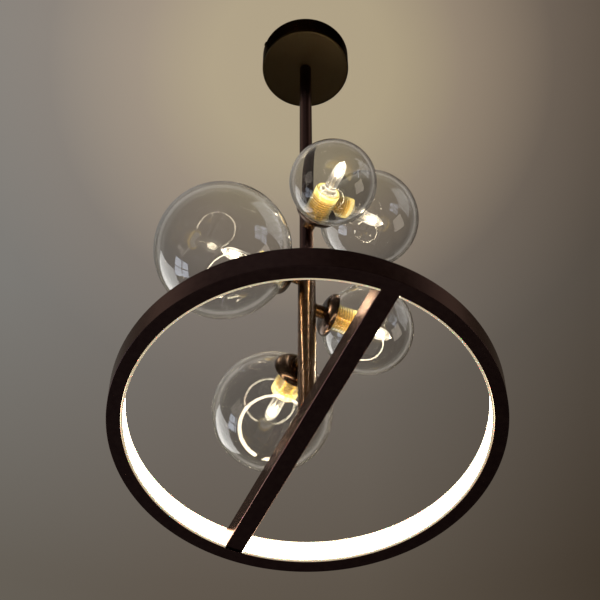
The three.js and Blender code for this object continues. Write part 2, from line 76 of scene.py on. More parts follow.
def rounded(points, cuts, steps=6):
    """An outline with its corners rounded.

    Each corner is replaced by a curve that starts and ends at the given cut from it, along its two
    sides: (1-t)^2 times the start, plus 2t(1-t) times the corner, plus t^2 times the end.
    A point on each side, a little past the curve, keeps the shading of the flat beside it flat.
    """
    points, cuts = np.array(points, float), np.array(cuts, float)[:, None]
    back = np.roll(points, 1, 0) - points
    ahead = np.roll(points, -1, 0) - points
    back /= np.maximum(np.linalg.norm(back, axis=1, keepdims=True), NO_LENGTH)
    ahead /= np.maximum(np.linalg.norm(ahead, axis=1, keepdims=True), NO_LENGTH)
    start, end = points + back * cuts, points + ahead * cuts
    t = np.linspace(0, 1, steps)[None, :, None]
    bend = (1 - t) ** 2 * start[:, None] + 2 * t * (1 - t) * points[:, None] + t**2 * end[:, None]
    support = CORNER_SUPPORT * cuts[:, None]
    before = start[:, None] + support * back[:, None]
    after = end[:, None] + support * ahead[:, None]
    outline = np.concatenate([before, bend, after], 1).reshape(-1, 2)
    step = np.linalg.norm(outline - np.roll(outline, 1, 0), axis=1)
    step[0] = 1
    return outline[step > NO_LENGTH]


def skin(name, grid, body, material, along=False, capped=False):
    """A mesh over a grid of points [u, v], closed in v, that rides on a body.

    Each face joins [u, v], [u, v+1], [u+1, v+1] and [u+1, v]. With along it is closed in u too, and
    with capped one face fills each end.
    """
    rows, columns = grid.shape[:2]
    u, v = np.meshgrid(np.arange(rows if along else rows - 1), np.arange(columns), indexing="ij")
    u2, v2 = (u + 1) % rows, (v + 1) % columns
    corners = [u * columns + v, u * columns + v2, u2 * columns + v2, u2 * columns + v]
    faces = np.stack(corners, -1).reshape(-1, 4).tolist()
    if capped:
        first = np.arange(columns)
        faces += [first[::-1].tolist(), (first + (rows - 1) * columns).tolist()]
    mesh = bpy.data.meshes.new(name)
    mesh.from_pydata(grid.reshape(-1, 3).tolist(), [], faces)
    tidy = bmesh.new()
    tidy.from_mesh(mesh)
    bmesh.ops.remove_doubles(tidy, verts=tidy.verts, dist=WELD)
    bmesh.ops.recalc_face_normals(tidy, faces=tidy.faces)
    tidy.to_mesh(mesh)
    tidy.free()
    mesh.shade_smooth()
    mesh.materials.append(material)
    piece = bpy.data.objects.new(name, mesh)
    bpy.context.scene.collection.objects.link(piece)
    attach(piece, body)
    return piece


def revolve(profile, sides=128):
    """Points (r, h) carried round Z: x = r cos a, y = r sin a, z = h."""
    angle = np.linspace(0, 2 * np.pi, sides, endpoint=False)
    r, h = np.array(profile)[:, 0, None], np.array(profile)[:, 1, None]
    return np.stack([r * np.cos(angle), r * np.sin(angle), h + 0 * angle], -1)


def heights(node):
    """The lowest and the highest z of a CAD node."""
    low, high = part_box(node)
    return low.z, high.z


def linear(colour):
    """The linear colour of an sRGB hex value.

    A share s of full becomes s / 12.92 up to 0.04045, and ((s + 0.055) / 1.055)^2.4 above it.
    """
    share = np.array([int(colour[i : i + 2], 16) for i in (1, 3, 5)]) / 255
    return (*np.where(share <= 0.04045, share / 12.92, ((share + 0.055) / 1.055) ** 2.4), 1)


def add(tree, kind, values=None, links=None, **settings):
    """Adds a node, with its settings, its input values and what feeds its inputs."""
    node = tree.nodes.new(kind)
    for key, value in settings.items():
        setattr(node, key, value)
    for key, value in (values or {}).items():
        node.inputs[key].default_value = value
    for key, source in (links or {}).items():
        tree.links.new(source, node.inputs[key])
    return node


def finish(name, metallic=0.0, **values):
    """A new material and its Principled shader, with the constant values on the shader itself."""
    material = bpy.data.materials.new(name)
    material.use_nodes = True
    shader = material.node_tree.nodes["Principled BSDF"]
    shader.inputs["Metallic"].default_value = metallic
    for key, value in values.items():
        shader.inputs[key.replace("_", " ")].default_value = value
    return material, shader


NOISE_LOW = 0.3  # nearly all of the noise lies between these two
NOISE_HIGH = 0.7
BUMP_STRENGTH = 0.5


def uneven(shader, size, dark, light, roughness, depth, stretch=(1, 1, 1)):
    """A finish that varies by noise of that size, from its low value to its high one.

    The colour goes from dark to light, the roughness from its first value to its second, and the
    surface rises by up to that depth.
    """
    tree = shader.id_data
    place = add(tree, "ShaderNodeTexCoord").outputs["Object"]
    place = add(tree, "ShaderNodeMapping", {"Scale": stretch}, {"Vector": place}).outputs["Vector"]
    grain = {"Scale": 1 / size, "Detail": 4}
    noise = add(tree, "ShaderNodeTexNoise", grain, {"Vector": place}).outputs["Fac"]
    tone = add(tree, "ShaderNodeValToRGB", links={"Fac": noise})
    first, last = tone.color_ramp.elements
    first.position = NOISE_LOW
    first.color = linear(dark)
    last.position = NOISE_HIGH
    last.color = linear(light)
    tree.links.new(tone.outputs["Color"], shader.inputs["Base Color"])
    ends = {"From Min": NOISE_LOW, "From Max": NOISE_HIGH}
    ends |= {"To Min": roughness[0], "To Max": roughness[1]}
    rough = add(tree, "ShaderNodeMapRange", ends, {"Value": noise}).outputs["Result"]
    tree.links.new(rough, shader.inputs["Roughness"])
    raised = {"Strength": BUMP_STRENGTH, "Distance": depth}
    bump = add(tree, "ShaderNodeBump", raised, {"Height": noise})
    tree.links.new(bump.outputs["Normal"], shader.inputs["Normal"])


# Powder coat: near black, with fine metal flake in it and an orange peel a millimetre across.
# Its specular tint dims and warms what it mirrors at a glancing angle.
black_coat, shader = finish("black_powder_coat", 1.0, Specular_Tint=linear("#807466"))
uneven(shader, 1.2 * MM, "#30281B", "#3A3021", (0.28, 0.34), 0.01 * MM)

canopy_low, canopy_high = heights("canopy_cup")
canopy_inner = CANOPY_RADIUS - CANOPY_WALL
cup = rounded(
    [
        (NIPPLE_HOLE, canopy_low + CANOPY_WALL),
        (NIPPLE_HOLE, canopy_low),
        (CANOPY_RADIUS, canopy_low),
        (CANOPY_RADIUS, canopy_high),
        (canopy_inner, canopy_high),
        (canopy_inner, canopy_low + CANOPY_WALL),
    ],
    [0.1 * MM, 0.1 * MM, CANOPY_EDGE, 0.3 * MM, 0.3 * MM, CANOPY_EDGE - CANOPY_WALL],
)
canopy = skin("canopy_shell", revolve(cup), "fixture", black_coat, along=True)
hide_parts("canopy_cup")

SCREW_SEAT = CANOPY_RADIUS + 0.3 * MM  # the head's underside, just clear of the cup
SCREW_HEAD = 3.6 * MM
SCREW_HEAD_HIGH = 2.2 * MM
SCREW_SHANK = 2 * MM
SCREW_LONG = 9 * MM
SCREW_EDGE_HIGH = SCREW_HEAD_HIGH * 0.45
SCREW_CROWN = SCREW_HEAD * 0.55
RECESS_HIGH = SCREW_HEAD_HIGH * 0.5
RECESS_MOUTH = SCREW_HEAD * 0.28
RECESS_FLOOR = SCREW_HEAD * 0.22
head = rounded(
    [
        (0, -SCREW_LONG),
        (SCREW_SHANK, -SCREW_LONG),
        (SCREW_SHANK, 0),
        (SCREW_HEAD, 0),
        (SCREW_HEAD, SCREW_EDGE_HIGH),
        (SCREW_CROWN, SCREW_HEAD_HIGH),
        (RECESS_MOUTH, SCREW_HEAD_HIGH),
        (RECESS_FLOOR, RECESS_HIGH),
        (0, RECESS_HIGH),
    ],
    np.array([0, 0.2, 0.1, 0.2, 0.8, 0.4, 0.1, 0.1, 0]) * MM,
    steps=4,
)
for side, way in (("right", 1), ("left", -1)):
    screw_low, screw_high = heights(f"canopy_screw_{side}")
    x, y, z = np.moveaxis(revolve(head, sides=32), -1, 0)
    grid = np.stack([way * (SCREW_SEAT + z), way * y, (screw_low + screw_high) / 2 + x], -1)
    screw = skin(f"canopy_screw_{side}_head", grid, "fixture", black_coat)
    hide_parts(f"canopy_screw_{side}")


# Rod: a drawn steel tube, lacquered like the ring. A nipple holds it under the canopy floor.
# Its lower end stands in the coupler, and two of the lamps' arms are screwed into its wall.
ROD_RADIUS = 8 * MM
TUBE_BORE = 5.3 * MM
TUBE_EDGE = 0.3 * MM
BORE_EDGE = 0.2 * MM

# Flake lacquer: black-brown and half glossy, so the ring's light shows in the bar near its ends.
# Its specular tint keeps the glancing reflections warm.
ring_black, shader = finish("black_flake_lacquer", 1.0, Specular_Tint=linear("#D8CCC4"))
uneven(shader, 6 * MM, "#3F2F32", "#49393A", (0.2, 0.25), 0.002 * MM)


def tube(name, node, radius, material):
    """A tube between the two heights of its CAD node: its wall's outline, carried round Z."""
    low, high = heights(node)
    wall = rounded(
        [(TUBE_BORE, low), (radius, low), (radius, high), (TUBE_BORE, high)],
        [BORE_EDGE, TUBE_EDGE, TUBE_EDGE, BORE_EDGE],
    )
    piece = skin(name, revolve(wall, sides=96), "fixture", material, along=True)
    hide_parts(node)


tube("rod_tube", "upper_rod", ROD_RADIUS, ring_black)


# Stem and coupler: a steel tube and a turned cap, plated a dark bronze and lacquered.
# The stem stands on the bar, held by a nipple. The cap's plug closes its top, and the rod stands in it.
STEM_RADIUS = 10 * MM
COUPLER_CAP = 9 * MM
COUPLER_PLUG_RADIUS = 8.2 * MM
COUPLER_BORE = 8.3 * MM
WIRE_BORE = 3.5 * MM
ROD_GRIP = 14.3 * MM

# Bronze plate on turned steel: the lathe marks run round it, and draw the lamps' light out into
# streaks along the stem.
bronze, shader = finish("dark_bronze_plate", 1.0, Anisotropic=0.8, Anisotropic_Rotation=0.25)
uneven(
    shader, 6 * MM, "#50371F", "#5C4128", (0.25, 0.29), depth=0.0005 * MM, stretch=(1, 1, 0.1)
)
tangent = add(shader.id_data, "ShaderNodeTangent", direction_type="RADIAL", axis="Z")
shader.id_data.links.new(tangent.outputs["Tangent"], shader.inputs["Tangent"])

tube("stem_tube", "lower_stem", STEM_RADIUS, bronze)
coupler_low, coupler_high = heights("rod_coupler")
coupler = rounded(
    [
        (WIRE_BORE, coupler_low),
        (COUPLER_PLUG_RADIUS, coupler_low),
        (COUPLER_PLUG_RADIUS, coupler_high - COUPLER_CAP),
        (STEM_RADIUS, coupler_high - COUPLER_CAP),
        (STEM_RADIUS, coupler_high),
        (COUPLER_BORE, coupler_high),
        (COUPLER_BORE, coupler_high - ROD_GRIP),
        (WIRE_BORE, coupler_high - ROD_GRIP),
    ],
    np.array([0.2, 0.2, 0.1, 0.3, 1.2, 0.3, 0.2, 0.2]) * MM,
)
grid = revolve(coupler, sides=96)
cap = skin("coupler_turned", grid, "fixture", bronze, along=True)
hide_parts("rod_coupler")


# Cross bar: a rectangular steel tube with rolled corners, sprayed and lacquered like the ring.
# Its ends butt against the inside of the ring's channel, just clear of its two walls.
BAR_CORNER = 1.2 * MM
BAR_WALL = 1.5 * MM
BAR_EDGE = 0.3 * MM  # from each cut end, where the shading of its edge stops

bar_low, bar_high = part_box("cross_bar")
outer = rounded(
    [
        (bar_low.x, bar_low.z),
        (bar_high.x, bar_low.z),
        (bar_high.x, bar_high.z),
        (bar_low.x, bar_high.z),
    ],
    [BAR_CORNER] * 4,
)
middle = np.array([(bar_low.x + bar_high.x) / 2, (bar_low.z + bar_high.z) / 2])
half = np.array([bar_high.x - bar_low.x, bar_high.z - bar_low.z]) / 2
inner = middle + (outer - middle) * (1 - BAR_WALL / half)
near, far = bar_low.y, bar_high.y
runs = [(inner, near), (outer, near), (outer, near + BAR_EDGE)]
runs += [(outer, far - BAR_EDGE), (outer, far), (inner, far)]
runs += [(inner, far - BAR_EDGE), (inner, near + BAR_EDGE)]
rows = [np.stack([line[:, 0], np.full(len(line), y), line[:, 1]], -1) for line, y in runs]
bar = skin("bar_tube", np.stack(rows), "fixture", ring_black, along=True)
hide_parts("cross_bar")


# Ring: an aluminium channel rolled to a circle, open inwards, in the same black lacquer.
# Two countersunk screws go through it into the plugs in the bar's ends.
RING_RADIUS = 201 * MM
RING_DEPTH = 14.5 * MM
RING_WALL = 2 * MM
ring_low, ring_high = heights("ring_housing")
lip = RING_RADIUS - RING_DEPTH
channel_floor = RING_RADIUS - RING_WALL
channel = rounded(
    [
        (lip, ring_low),
        (RING_RADIUS, ring_low),
        (RING_RADIUS, ring_high),
        (lip, ring_high),
        (lip, ring_high - RING_WALL),
        (channel_floor, ring_high - RING_WALL),
        (channel_floor, ring_low + RING_WALL),
        (lip, ring_low + RING_WALL),
    ],
    np.array([0.3, 0.5, 0.5, 0.3, 0.2, 0.2, 0.2, 0.2]) * MM,
)
grid = revolve(channel, sides=256)
ring = skin("ring_channel", grid, "fixture", ring_black, along=True)
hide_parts("ring_housing")


# Diffusers: extruded opal acrylic, bent to two half circles that snap into the channel by two legs.
# The LED strips behind them light their whole width, and less light reaches the two rounded edges.
DIFFUSER_PROUD = 2.4 * MM
DIFFUSER_GAP = 0.3 * MM
DIFFUSER_LEG = 4.2 * MM
DIFFUSER_LEG_WALL = 1.8 * MM
DIFFUSER_EDGE = 0.7 * MM
DIFFUSER_STEPS = 129
DIFFUSER_GLOW = 20.0
EDGE_GLOW = 0.4
EDGE_FADE = 4 * MM  # from the edge, where the light starts to fade
LED_WARM = "#FFF0CF"
LED_EDGE = "#FFEBC0"
diffuser_face = lip - DIFFUSER_PROUD
diffuser_back = lip - DIFFUSER_GAP
diffuser_leg = lip + DIFFUSER_LEG

# Opal acrylic: milky and half glossy. Its light turns yellower over its last millimetres, and it
# fades there from one glow to the other: their ratio, to the power of the share of the way out.
opal, shader = finish("opal_acrylic_lit", Subsurface_Weight=0.2, Subsurface_Scale=2 * MM)
uneven(shader, 3 * MM, "#EFE6D2", "#F6F0E2", (0.36, 0.44), 0.004 * MM)
tree = shader.id_data
place = add(tree, "ShaderNodeTexCoord").outputs["Object"]
height = add(tree, "ShaderNodeSeparateXYZ", links={"Vector": place}).outputs["Z"]
mid_height = {1: (ring_low + ring_high) / 2}
off = add(tree, "ShaderNodeMath", mid_height, {0: height}, operation="SUBTRACT").outputs[0]
off = add(tree, "ShaderNodeMath", links={0: off}, operation="ABSOLUTE").outputs[0]
half_height = (ring_high - ring_low) / 2
ends = {"From Min": half_height - EDGE_FADE, "From Max": half_height - DIFFUSER_EDGE}
at_edge = add(tree, "ShaderNodeMapRange", ends, {"Value": off}).outputs["Result"]
tone = add(tree, "ShaderNodeValToRGB", links={"Fac": at_edge})
first, last = tone.color_ramp.elements
first.color = linear(LED_WARM)
last.color = linear(LED_EDGE)
tree.links.new(tone.outputs["Color"], shader.inputs["Emission Color"])
fading = {0: EDGE_GLOW / DIFFUSER_GLOW}
glow = add(tree, "ShaderNodeMath", fading, {1: at_edge}, operation="POWER").outputs[0]
glow = add(tree, "ShaderNodeMath", {1: DIFFUSER_GLOW}, {0: glow}, operation="MULTIPLY").outputs[0]
tree.links.new(glow, shader.inputs["Emission Strength"])

beside_bar = math.pi / 2 - math.asin((bar_high.x + DIFFUSER_GAP) / diffuser_face)
leg_low = ring_low + RING_WALL + DIFFUSER_GAP
leg_high = ring_high - RING_WALL - DIFFUSER_GAP
leg_edges = np.array([0.2, 0.2, 0.3, 0.3, 0.2]) * MM
for side, way in (("right", 1), ("left", -1)):
    low, high = heights(f"diffuser_{side}")
    section = rounded(
        [
            (diffuser_face, low),
            (diffuser_back, low),
            (diffuser_back, leg_low),
            (diffuser_leg, leg_low),
            (diffuser_leg, leg_low + DIFFUSER_LEG_WALL),
            (diffuser_back, leg_low + DIFFUSER_LEG_WALL),
            (diffuser_back, leg_high - DIFFUSER_LEG_WALL),
            (diffuser_leg, leg_high - DIFFUSER_LEG_WALL),
            (diffuser_leg, leg_high),
            (diffuser_back, leg_high),
            (diffuser_back, high),
            (diffuser_face, high),
        ],
        [DIFFUSER_EDGE, *leg_edges, *leg_edges[::-1], DIFFUSER_EDGE],
    )
    angle = np.linspace(-beside_bar, beside_bar, DIFFUSER_STEPS)[:, None]
    r, h = section[None, :, 0], section[None, :, 1]
    grid = np.stack([way * r * np.cos(angle), way * r * np.sin(angle), h + 0 * angle], -1)
    strip = skin(f"diffuser_opal_{side}", grid, "fixture", opal, capped=True)
    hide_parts(f"diffuser_{side}")


# Arms: turned in one piece, with a shoulder cut to hug the stem and a hollow spigot at each end.
# One spigot screws into the stem, and the other passes the dish into the foot of the holder.
RIM_REACH = 29 * MM
DISH_DEPTH = 10 * MM
# Each lamp's globe diameter in millimetres, and its quarter turns round the stem from +X
LAMPS = {1: (132, 1), 2: (103, 0), 3: (154, 2), 4: (101, 3), 5: (122, 0)}
ON_THE_ROD = (4, 5)  # the other lamps are on the stem
SLEEVE_RADIUS = 7.2 * MM
SLEEVE_EDGE = 0.3 * MM
SPIGOT_RADIUS = 5 * MM
CARRIER_WALL = 1.5 * MM
ARM_TAIL = 2 * MM
HOLDER_FOOT = 3 * MM
DISH_WALL = 1.2 * MM
SEAT = 0.3 * MM  # between pieces that seat on each other
ARM_SIDES = 64
dish_back = RIM_REACH - DISH_DEPTH
holder_foot = dish_back + DISH_WALL + SEAT


def arm_place(lamp):
    """A lamp's turn round the stem, and the height of its arm, which is the middle of its dish."""
    low, high = heights(f"dish_{lamp}")
    return LAMPS[lamp][1] * math.pi / 2, (low + high) / 2


def outwards(grid, lamp):
    """Turns a piece made along Z to its lamp's own direction.

    With reach = z, aside = y and up = -x, the new x is reach cos turn - aside sin turn, y is
    reach sin turn + aside cos turn, and z is up + the arm's height.
    """
    turn, height = arm_place(lamp)
    reach, aside, up = grid[..., 2], grid[..., 1], -grid[..., 0]
    x = reach * math.cos(turn) - aside * math.sin(turn)
    y = reach * math.sin(turn) + aside * math.cos(turn)
    return np.stack([x, y, up + height], -1)


# Where an arm hugs its carrier, a point's reach starts at the carrier: sqrt(radius^2 - aside^2).
for lamp in LAMPS:
    carrier = ROD_RADIUS if lamp in ON_THE_ROD else STEM_RADIUS
    tail, tip = carrier - CARRIER_WALL - ARM_TAIL, holder_foot + HOLDER_FOOT
    turned = [  # radius, reach, and 1 where it hugs the carrier
        (WIRE_BORE, tail, 0),
        (SPIGOT_RADIUS, tail, 0),
        (SPIGOT_RADIUS, 0, 1),
        (SLEEVE_RADIUS - SLEEVE_EDGE, 0, 1),
        (SLEEVE_RADIUS, SLEEVE_EDGE, 1),
        (SLEEVE_RADIUS, 2 * SLEEVE_EDGE, 1),
        (SLEEVE_RADIUS, dish_back - 3 * SLEEVE_EDGE, 0),
        (SLEEVE_RADIUS, dish_back - 2 * SLEEVE_EDGE, 0),
        (SLEEVE_RADIUS - SLEEVE_EDGE, dish_back - SLEEVE_EDGE, 0),
        (SPIGOT_RADIUS, dish_back - SLEEVE_EDGE, 0),
        (SPIGOT_RADIUS, tip, 0),
        (WIRE_BORE, tip, 0),
    ]
    radius, reach, hugs = (column[:, None] for column in np.array(turned).T)
    angle = np.linspace(0, 2 * np.pi, ARM_SIDES, endpoint=False)
    across, aside = radius * np.cos(angle), radius * np.sin(angle)
    hug = np.sqrt((carrier + SEAT) ** 2 - aside**2)
    grid = outwards(np.stack([across, aside, reach + hugs * hug], -1), lamp)
    arm = skin(f"arm_turned_{lamp}", grid, "fixture", bronze, along=True)
    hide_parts(f"arm_{lamp}")


# Dishes: turned brass bowls, plated like the stem, between the arm's shoulder and the holder.
# The globe's shoulder rests against the rim, on a seal.
RIM_RADIUS = 25 * MM
DISH_FLAT = 10 * MM
DISH_LIP = DISH_WALL / 2

# Polished bronze plate: brighter than the stem, without its streaks, so it carries small warm
# highlights.
polished, shader = finish("polished_bronze_plate", 1.0)
uneven(shader, 4 * MM, "#4C3D33", "#5A483C", (0.2, 0.26), 0.001 * MM)


def bowl(rim_radius, depth, steps=20):
    """One side of a dish: a quarter ellipse from its flat back out to the rim.

    The radius is flat + (rim - flat) cos a, and the reach is the rim's, less depth sin a.
    """
    angle = np.linspace(math.pi / 2, 0, steps)
    radius = DISH_FLAT + (rim_radius - DISH_FLAT) * np.cos(angle)
    return np.stack([radius, RIM_REACH - DISH_LIP - depth * np.sin(angle)], -1)


# The rim's edge is a half circle from the outer side to the inner one, as thick as the wall.
lip_angle = np.linspace(0, math.pi, 9)[1:-1]
lip_edge = np.stack(
    [
        RIM_RADIUS - DISH_LIP + DISH_LIP * np.cos(lip_angle),
        RIM_REACH - DISH_LIP + DISH_LIP * np.sin(lip_angle),
    ],
    -1,
)
dish_profile = np.vstack(
    [
        [(NIPPLE_HOLE, dish_back)],
        bowl(RIM_RADIUS, DISH_DEPTH - DISH_LIP),
        lip_edge,
        bowl(RIM_RADIUS - DISH_WALL, DISH_DEPTH - DISH_WALL - DISH_LIP)[::-1],
        [(NIPPLE_HOLE, dish_back + DISH_WALL)],
    ]
)
for lamp in LAMPS:
    grid = outwards(revolve(dish_profile, sides=96), lamp)
    dish = skin(f"dish_turned_{lamp}", grid, "fixture", polished, along=True)
    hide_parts(f"dish_{lamp}")


# Holders: aluminium shells with a rolled thread, round a white ceramic two-pin socket.
# The arm's front spigot holds each one. Its thread carries the globe by its neck.
HOLDER_RADIUS = 12.2 * MM
HOLDER_NECK = 10 * MM
HOLDER_REACH = 31 * MM
SHELL_BORE = 11.2 * MM
SHELL_SHORT = 4 * MM  # from the socket's front back to the shell's
SHELL_LIP = 0.6 * MM
SHELL_BEVEL = 0.5 * MM
HOLDER_SIDES = 72
SOCKET_RADIUS = 7.9 * MM
SOCKET_DEPTH = 11 * MM
SOCKET_PROUD = 1.5 * MM
PRESSED = SEAT / 3  # between parts that are pressed together
THREAD_PITCH = 3 * MM
THREAD_DEPTH = 1.2 * MM
THREAD_REACH = 24 * MM  # past the rim, where the thread has faded out
THREAD_ROWS = 140

# Gold anodising: a satin yellow metal, which shows through the neck's glass as fine gold rings.
gold, shader = finish("gold_anodised_aluminium", 1.0)
uneven(shader, 1.5 * MM, "#E0AE44", "#EFC45C", (0.22, 0.3), 0.002 * MM)

# Steatite: matt white, fired, with a fine grain. The capsule beside it lights it up.
ceramic, shader = finish("fired_white_steatite")
uneven(shader, 1 * MM, "#F1EDE4", "#F8F6F0", (0.42, 0.52), 0.01 * MM)

holder_front = RIM_REACH + HOLDER_REACH
socket_floor = holder_front - SOCKET_DEPTH
shell_front = holder_front - SHELL_SHORT
thread_start, thread_end = holder_foot + 2 * HOLDER_FOOT, RIM_REACH + THREAD_REACH
shell_side = np.linspace(thread_start, shell_front - SHELL_LIP, THREAD_ROWS)
holder_profile = np.vstack(
    [
        [
            (0, holder_foot + HOLDER_FOOT + SEAT),
            (NIPPLE_HOLE, holder_foot + HOLDER_FOOT + SEAT),
            (NIPPLE_HOLE, holder_foot),
            (HOLDER_NECK - HOLDER_FOOT, holder_foot),
            (HOLDER_NECK, holder_foot + HOLDER_FOOT),
        ],
        np.stack([0 * shell_side + HOLDER_RADIUS, shell_side], -1),
        [
            (HOLDER_RADIUS - SHELL_BEVEL, shell_front),
            (SHELL_BORE, shell_front),
            (SHELL_BORE, socket_floor),
            (0, socket_floor),
        ],
    ]
)
socket_profile = rounded(
    [
        (0, socket_floor + PRESSED),
        (SHELL_BORE - PRESSED, socket_floor + PRESSED),
        (SHELL_BORE - PRESSED, holder_front + SOCKET_PROUD),
        (SOCKET_RADIUS, holder_front + SOCKET_PROUD),
        (SOCKET_RADIUS, socket_floor + SEAT),
        (0, socket_floor + SEAT),
    ],
    np.array([0, 0.1, 1, 0.6, 0.05, 0]) * MM,
)


def threaded_grid(profile, sides, low, high, depth):
    """A revolved profile with a screw thread between two reaches.

    The radius loses half the depth times (1 - cos(2 pi z / pitch - angle)), faded in over one pitch.
    """
    grid = revolve(profile, sides)
    angle = np.linspace(0, 2 * np.pi, sides, endpoint=False)
    z = grid[..., 2]
    fade = np.clip((z - low) / THREAD_PITCH, 0, 1) * np.clip((high - z) / THREAD_PITCH, 0, 1)
    loss = depth / 2 * fade * (1 - np.cos(2 * np.pi * z / THREAD_PITCH - angle))
    radius = np.maximum(np.linalg.norm(grid[..., :2], axis=-1), NO_LENGTH)
    grid[..., :2] *= (1 - loss / radius)[..., None]
    return grid


# Only the outside of the shell has the thread, and its bore stays plain.
plain = revolve(holder_profile, HOLDER_SIDES)
threaded = threaded_grid(holder_profile, HOLDER_SIDES, thread_start, thread_end, THREAD_DEPTH)
off_axis = np.linalg.norm(plain[..., :2], axis=-1, keepdims=True)
shell = np.where(off_axis > (SHELL_BORE + HOLDER_RADIUS) / 2, threaded, plain)
for lamp in LAMPS:
    grid = outwards(shell, lamp)
    holder = skin(f"holder_threaded_{lamp}", grid, "fixture", gold)
    grid = outwards(revolve(socket_profile, sides=48), lamp)
    socket = skin(f"holder_socket_{lamp}", grid, "fixture", ceramic)
    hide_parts(f"lamp_holder_{lamp}")
    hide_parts(f"lamp_holder_{lamp}")


# Seals: rings of pale silicone, moulded to fill the space between the dish and the globe's shoulder.
# They keep the glass off the metal, and a little light passes through them.
NECK_RADIUS = 12.5 * MM
SEAL_WIDTH = 4.4 * MM
SEAL_EDGE = 0.3 * MM

# Silicone: matt, pale grey and slightly milky.
silicone, shader = finish("moulded_silicone", Subsurface_Weight=0.15, Subsurface_Scale=1 * MM)
uneven(shader, 2 * MM, "#A9A294", "#BDB6A8", (0.5, 0.6), 0.02 * MM)


def globe_centre(radius):
    """The reach of a globe's centre when its shoulder rests on the dish's rim.

    It is past the rim's own reach by sqrt(radius^2 - rim radius^2).
    """
    return RIM_REACH + SEAT + math.sqrt(radius**2 - (RIM_RADIUS - DISH_LIP) ** 2)


dish_inside = bowl(RIM_RADIUS - DISH_WALL, DISH_DEPTH - DISH_WALL - DISH_LIP)
seal_in, seal_out = NECK_RADIUS + SEAT, NECK_RADIUS + SEAT + SEAL_WIDTH
for lamp, (diameter, _) in LAMPS.items():
    radius = diameter / 2 * MM
    section = []
    for r in (seal_in, seal_out):
        on_globe = globe_centre(radius) - math.sqrt(radius**2 - r**2) - SEAT
        on_dish = np.interp(r, dish_inside[:, 0], dish_inside[:, 1]) + SEAT
        section += [(r, on_dish), (r, on_globe)]
    section = [section[0], section[2], section[3], section[1]]
    section = rounded(section, [SEAL_EDGE] * 4, steps=4)
    grid = outwards(revolve(section, sides=64), lamp)
    seal = skin(f"seal_moulded_{lamp}", grid, "fixture", silicone, along=True)
    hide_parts(f"gasket_{lamp}")


# Bulbs: small capsules of fused glass, drawn to a sealed tip, on a white ceramic base in the socket.
# Each holds a short rod of phosphor on two wires, which gives nearly all of the light.
# The glass round it only glows a little.
BULB_RADIUS = 7 * MM
BULB_BASE = 7.5 * MM
BULB_REACH = 76 * MM
BASE_PAST_HOLDER = 6 * MM
NARROWS = 14 * MM  # from the tip back to where the capsule starts to narrow
NOSE_BACK = 6.5 * MM
NOSE_RADIUS = BULB_RADIUS * 0.78
PINCH_BACK = 2.6 * MM
PINCH_RADIUS = 1.8 * MM
CORE_MIDDLE = 60 * MM  # past the rim
CORE_RADIUS = 2.6 * MM
CORE_HALF = 5 * MM
CORE_BLUNTNESS = 0.6  # 1 is an ellipse, and lower is blunter
CORE_GLOW = 900.0
LEAD_RADIUS = 0.4 * MM
LEAD_MEETS_CORE = CORE_HALF * 0.8  # back from the core's middle
BULB_GLOW = 0.6
BULB_REST = 0.08
BULB_FADE = 6 * MM
BULB_WARM = "#FFF0D6"
core_middle = RIM_REACH + CORE_MIDDLE

# Phosphor: yellow-white, with a fine grain, and far too bright to look at.
phosphor, shader = finish(
    "lit_phosphor", Emission_Color=linear(BULB_WARM), Emission_Strength=CORE_GLOW
)
uneven(shader, 0.4 * MM, "#F2E2A8", "#F8ECBE", (0.6, 0.7), 0.01 * MM)

# Drawn nickel wire: smooth, and a little yellowed by the heat.
nickel, shader = finish("drawn_nickel_wire", 1.0)
uneven(shader, 1 * MM, "#B9B1A2", "#CAC3B6", (0.25, 0.35), 0.001 * MM)

# Fused capsule glass, lightly frosted inside, so it glows softly round the phosphor. The glow
# comes from the reach kept on its points: a rest, plus BULB_GLOW times e^-((reach - middle) / fade)^2.
capsule, shader = finish(
    "frosted_capsule_glass", IOR=1.45, Transmission_Weight=1.0, Emission_Color=linear(BULB_WARM)
)
uneven(shader, 2 * MM, "#F8F4EA", "#FFFDF8", (0.12, 0.2), 0.01 * MM)
tree = shader.id_data
along = add(tree, "ShaderNodeAttribute", attribute_name="reach").outputs["Fac"]
off = add(tree, "ShaderNodeMath", {1: core_middle}, {0: along}, operation="SUBTRACT").outputs[0]
off = add(tree, "ShaderNodeMath", {1: BULB_FADE}, {0: off}, operation="DIVIDE").outputs[0]
squared = add(tree, "ShaderNodeMath", links={0: off, 1: off}, operation="MULTIPLY").outputs[0]
below = add(tree, "ShaderNodeMath", {1: -1.0}, {0: squared}, operation="MULTIPLY").outputs[0]
bell = add(tree, "ShaderNodeMath", links={0: below}, operation="EXPONENT").outputs[0]
levels = {1: BULB_GLOW, 2: BULB_REST}
glow = add(tree, "ShaderNodeMath", levels, {0: bell}, operation="MULTIPLY_ADD").outputs[0]
tree.links.new(glow, shader.inputs["Emission Strength"])


def let_through(shader):
    """Lets lamps shine through a glass: for shadow rays, its shader gives way to a clear one."""
    tree = shader.id_data
    rays = add(tree, "ShaderNodeLightPath").outputs
    clear = add(tree, "ShaderNodeBsdfTransparent").outputs["BSDF"]
    ways = {0: rays["Is Shadow Ray"], 1: shader.outputs["BSDF"], 2: clear}
    passes = add(tree, "ShaderNodeMixShader", links=ways)
    tree.links.new(passes.outputs["Shader"], tree.nodes["Material Output"].inputs["Surface"])


let_through(shader)


def keep(piece, name, values):
    """Keeps one number for each point of a piece, for its material to read."""
    piece.data.attributes.new(name, "FLOAT", "POINT").data.foreach_set("value", values)


